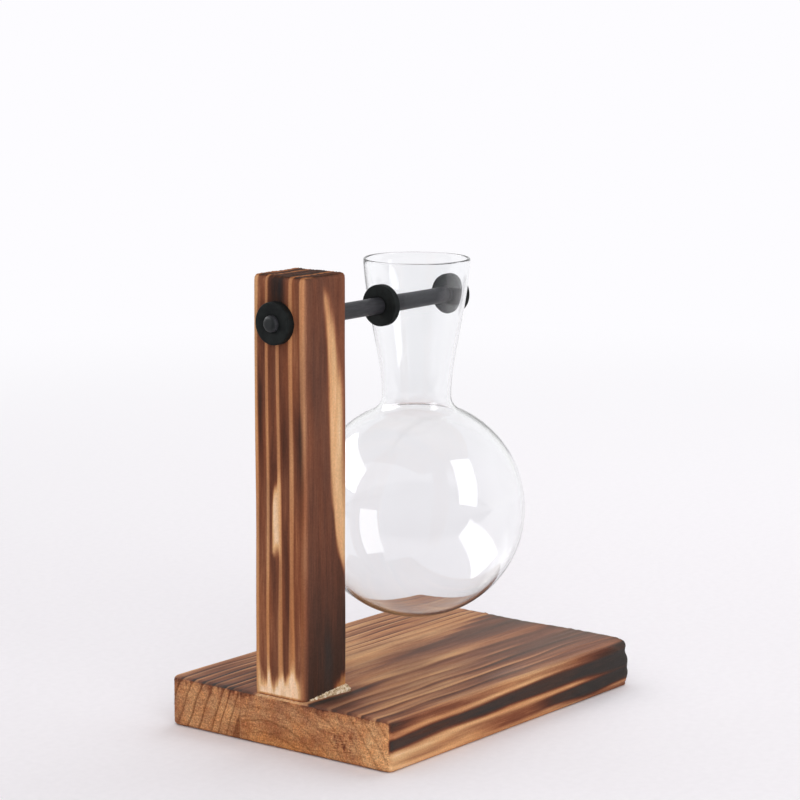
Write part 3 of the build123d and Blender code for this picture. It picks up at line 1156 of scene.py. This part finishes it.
def fill_glue(nodes):
    """Dried wood glue full of pale and scorched dust."""
    crumbs = nodes.noise(0.95, detail=3.0, roughness=0.75)
    patches = nodes.noise(2.8)
    dust = nodes.ramp(crumbs, (0.34, shown(66, 50, 38)), (0.42, shown(166, 134, 98)),
                      (0.51, shown(222, 200, 168)), (0.63, shown(250, 242, 226)))
    tone = nodes.mix(nodes.spread(patches, 0.0, 0.5), dust, shown(214, 182, 140))
    nodes.coat(tone, nodes.spread(crumbs, 0.55, 0.85), crumbs, gloss=0.15, strength=0.8, depth=0.25)


def build_bead():
    """Squeezed-out glue along the post's near foot: a lumpy fillet that thickens towards the inner corner."""
    start, end = post_low[0] + bead_start, post_high[0] + bead_overrun
    turn = np.linspace(0, pi / 2, bead_arms)
    rows = []
    for x in np.linspace(start, end, bead_steps + 1):
        grow = ease(start, end, x) * ease(end, end - bead_end_taper, x)
        out, high = bead_thin * ease(start, start + bead_start_taper, x) + (bead_thick - bead_thin) * grow
        reach = -bead_sink + (out + bead_sink) * np.cos(turn) ** bead_hollow
        rise = -bead_sink + (high + bead_sink) * np.sin(turn) ** bead_hollow
        section = np.stack([np.full(bead_arms, x), post_low[1] - reach, post_low[2] + rise], 1)
        rows.append(np.vstack([section, [x, post_low[1] + bead_sink, post_low[2] - bead_sink]]))
    points = np.concatenate(rows)
    lump = ripple(points, "bead_lumps", "bead_crumbs")
    outside = np.tile(np.append(np.sin(2 * turn), 0.0), len(rows))
    points[:, 1] -= lump * outside
    points[:, 2] += np.abs(lump) * outside
    width = bead_arms + 1
    order = list(range(len(points)))
    faces = tube_faces(len(rows), width) + [order[:width][::-1], order[-width:]]
    piece = new_mesh("glue_bead", points, faces)
    tidy_mesh(piece)
    smooth(piece, bead_sharp_angle)
    place(piece, dusty_glue, "stand", None)


def fill_zinc(nodes):
    """Zinc plate with faint turning marks."""
    grooves = nodes.noise(0.5, 0.5, 0.12, detail=3.0)
    tone = nodes.ramp(grooves, (0.3, shown(176, 176, 170)), (0.7, shown(210, 209, 202)))
    rough = nodes.spread(grooves, 0.22, 0.42)
    shader = nodes.add("BsdfPrincipled", {"Base Color": tone, "Metallic": 1.0, "Roughness": rough})
    nodes.add("OutputMaterial", {"Surface": shader})


# Camera, floor and light

camera_turn, camera_dip, camera_roll = radians(37.805), radians(9.605), radians(0.098)
camera_distance, camera_side, camera_height = 1046.4, -2.6, 113.9
camera_lens, sensor_width, camera_reach = 129.55, 36.0, 100000.0


def build_camera():
    """A long lens, turned and dipped as in the photograph."""
    ahead = Vector((cos(camera_turn) * cos(camera_dip), sin(camera_turn) * cos(camera_dip), -sin(camera_dip)))
    right = ahead.cross(Vector((0, 0, 1))).normalized()
    up = right.cross(ahead)
    rolled_right = right * cos(camera_roll) + up * sin(camera_roll)
    rolled_up = up * cos(camera_roll) - right * sin(camera_roll)
    target = right * camera_side + Vector((0, 0, camera_height))
    turn = Matrix((rolled_right, rolled_up, -ahead)).transposed().to_4x4()
    lens = bpy.data.cameras.new("camera")
    lens.lens = camera_lens
    lens.sensor_width = sensor_width
    lens.clip_end = camera_reach * metres
    camera = bpy.data.objects.new("camera", lens)
    camera.matrix_world = Matrix.Translation((target - ahead * camera_distance) * metres) @ turn
    bpy.context.scene.collection.objects.link(camera)
    bpy.context.scene.camera = camera


# The way from the object to the backdrop, and where the floor fades to white and, in gloss, turns dim
backdrop_way = (cos(camera_turn), sin(camera_turn), 0.0)
floor_reach, floor_drop = 14000.0, 0.02
fade_start, fade_end = 60.0, 1000.0
dim_start, dim_end = -150.0, -260.0


def seen_rays(nodes):
    """1 for rays that look at the background, straight or by way of gloss or glass."""
    path = nodes.add("LightPath").outputs
    return nodes.chain("MAXIMUM", path["Is Camera Ray"], path["Is Glossy Ray"], path["Is Transmission Ray"])


def after_gloss(nodes):
    """1 for rays that were reflected on their way, also those that then went on through glass."""
    return nodes.chain("GREATER_THAN", nodes.add("LightPath").outputs["Glossy Depth"], 0.5)


def fill_floor(nodes):
    """Pale paper that fades into a white background. Gloss sees it end in the dim room before it."""
    where = nodes.add("TexCoord").outputs["Object"]
    distance = nodes.add("VectorMath", {0: where}, operation="LENGTH").outputs["Value"]
    far = nodes.spread(distance, 0.0, 1.0, fade_start * metres, fade_end * metres, "SMOOTHSTEP")
    tooth = nodes.noise(3.0)
    tone = nodes.ramp(tooth, (0.3, shown(243, 240, 244)), (0.7, shown(246, 243, 247)))
    paper = nodes.add("BsdfPrincipled", {"Base Color": tone, "Roughness": 0.75, "Specular IOR Level": 0.15})
    white = nodes.add("Emission", {"Color": shown(253, 252, 255), "Strength": 1.0})
    seen = nodes.chain("MULTIPLY", far, seen_rays(nodes))
    shader = nodes.add("MixShader", {0: seen, 1: paper, 2: white})
    before = nodes.spread(nodes.toward(where, backdrop_way), 0.0, 1.0, dim_start * metres, dim_end * metres)
    dim = nodes.add("Emission", {"Color": shown(110, 110, 116), "Strength": 1.0})
    in_gloss = nodes.chain("MULTIPLY", before, after_gloss(nodes), seen_rays(nodes))
    nodes.add("OutputMaterial", {"Surface": nodes.add("MixShader", {0: in_gloss, 1: shader, 2: dim})})


def build_floor():
    corners = floor_reach * np.array([(-1, -1, 0), (1, -1, 0), (1, 1, 0), (-1, 1, 0)])
    floor = new_mesh("floor", corners, [(0, 1, 2, 3)])
    floor.location.z = -floor_drop * metres
    floor.data.materials.append(new_material("pale_floor", fill_floor))


def build_world():
    """A soft white room. Glass shows a white background, and gloss also a dimmer room before it."""
    world = bpy.data.worlds.new("soft_room")
    world.use_nodes = True
    bpy.context.scene.world = world
    nodes = Nodes(world.node_tree)
    way = nodes.add("TexCoord").outputs["Generated"]
    height = nodes.add("SeparateXYZ", {0: way}).outputs["Z"]
    behind = nodes.spread(nodes.toward(way, backdrop_way), 0.0, 1.0, start=-1.0)
    wall_tone = nodes.ramp(behind, (0.0, shown(140, 140, 146)), (0.38, shown(185, 185, 190)),
                           (0.56, shown(255, 255, 255)))
    ceiling_tone = nodes.ramp(height, (0.0, shown(255, 255, 255)), (0.45, shown(250, 250, 252)),
                              (0.85, shown(200, 200, 206)))
    seen_tone = nodes.mix(1.0, wall_tone, ceiling_tone, "MULTIPLY")
    seen_tone = nodes.mix(after_gloss(nodes), shown(254, 253, 255), seen_tone)
    seen = nodes.add("Background", {"Color": seen_tone, "Strength": 1.0})
    lighting = nodes.add("Background", {"Color": (1.0, 0.985, 0.985, 1.0), "Strength": 0.50})
    nodes.add("OutputWorld", {"Surface": nodes.add("MixShader", {0: seen_rays(nodes), 1: lighting, 2: seen})})


# Soft lamps: name, way from the bulb's centre, width, height, lean in degrees, brightness, and whether it
# shows in gloss and glass alone, or else lights matt surfaces alone
lamp_distance = 900.0
lamps = [
    ("overhead_panel", (0.05, 0.55, 0.82), 800.0, 800.0, 0, 0.80, False),
    ("key_panel", (0.66, 0.06, 0.72), 700.0, 700.0, 0, 1.95, False),
    ("front_fill", (-0.62, -0.70, 0.35), 800.0, 800.0, 0, 2.0, False),
    ("right_softbox", (0.166, -0.855, 0.489), 350.0, 720.0, -20, 3.2, True),
    ("left_softbox", (-0.40, 0.768, 0.50), 1150.0, 380.0, 0, 4.0, True),
]


def build_lamps():
    """Panels of an even brightness, aimed at the bulb. Power is brightness times area times pi."""
    aim = Vector((vase_x, 0, bulb_z)) * metres
    for name, way, width, height, lean, brightness, only_gloss in lamps:
        light = bpy.data.lights.new(name, "AREA")
        light.shape = "RECTANGLE"
        light.size = width * metres
        light.size_y = height * metres
        light.energy = brightness * pi * light.size * light.size_y
        lamp = bpy.data.objects.new(name, light)
        lamp.location = aim + Vector(way).normalized() * lamp_distance * metres
        aimed = (aim - lamp.location).to_track_quat("-Z", "Y")
        lamp.rotation_euler = (aimed @ Quaternion((0, 0, 1), radians(lean))).to_euler()
        lamp.visible_camera = False
        lamp.visible_diffuse = not only_gloss
        lamp.visible_glossy = only_gloss
        lamp.visible_transmission = only_gloss
        bpy.context.scene.collection.objects.link(lamp)


board_grain, board_gloss = 0, 0.13
post_grain, post_gloss = 2, 0.07
board_wood = new_material("board_wood_torched", fill_wood, board_grain, board_gloss)
post_wood = new_material("post_wood_torched", fill_wood, post_grain, post_gloss)
ring_rubber = new_material("black_rubber", fill_rubber)
rod_black = new_material("satin_black", fill_satin_black)
clear_glass = new_material("clear_glass", fill_glass)
dusty_glue = new_material("dusty_glue", fill_glue)

wide_end_line, narrow_end_line = 0.62, 0.85
build_stave("stave_wide", "base_stave_wide", wide_ring, wide_end_line, True, screw_cutters())
build_stave("stave_narrow", "base_stave_narrow", narrow_ring, narrow_end_line, False, [])
build_post()
build_bead()
build_rod()
build_ring("ring_at_post", "post_stop_ring", "stand")
build_ring("ring_inner", "inner_stop_ring", "stand")
build_ring("ring_end", "end_stop_ring", "end_ring")
build_vase()

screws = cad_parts["post_screws"]
screws.data.materials.clear()
screws.data.materials.append(new_material("zinc_plate", fill_zinc))

build_camera()
build_floor()
build_world()
build_lamps()
bpy.context.scene.view_settings.view_transform = "Standard"
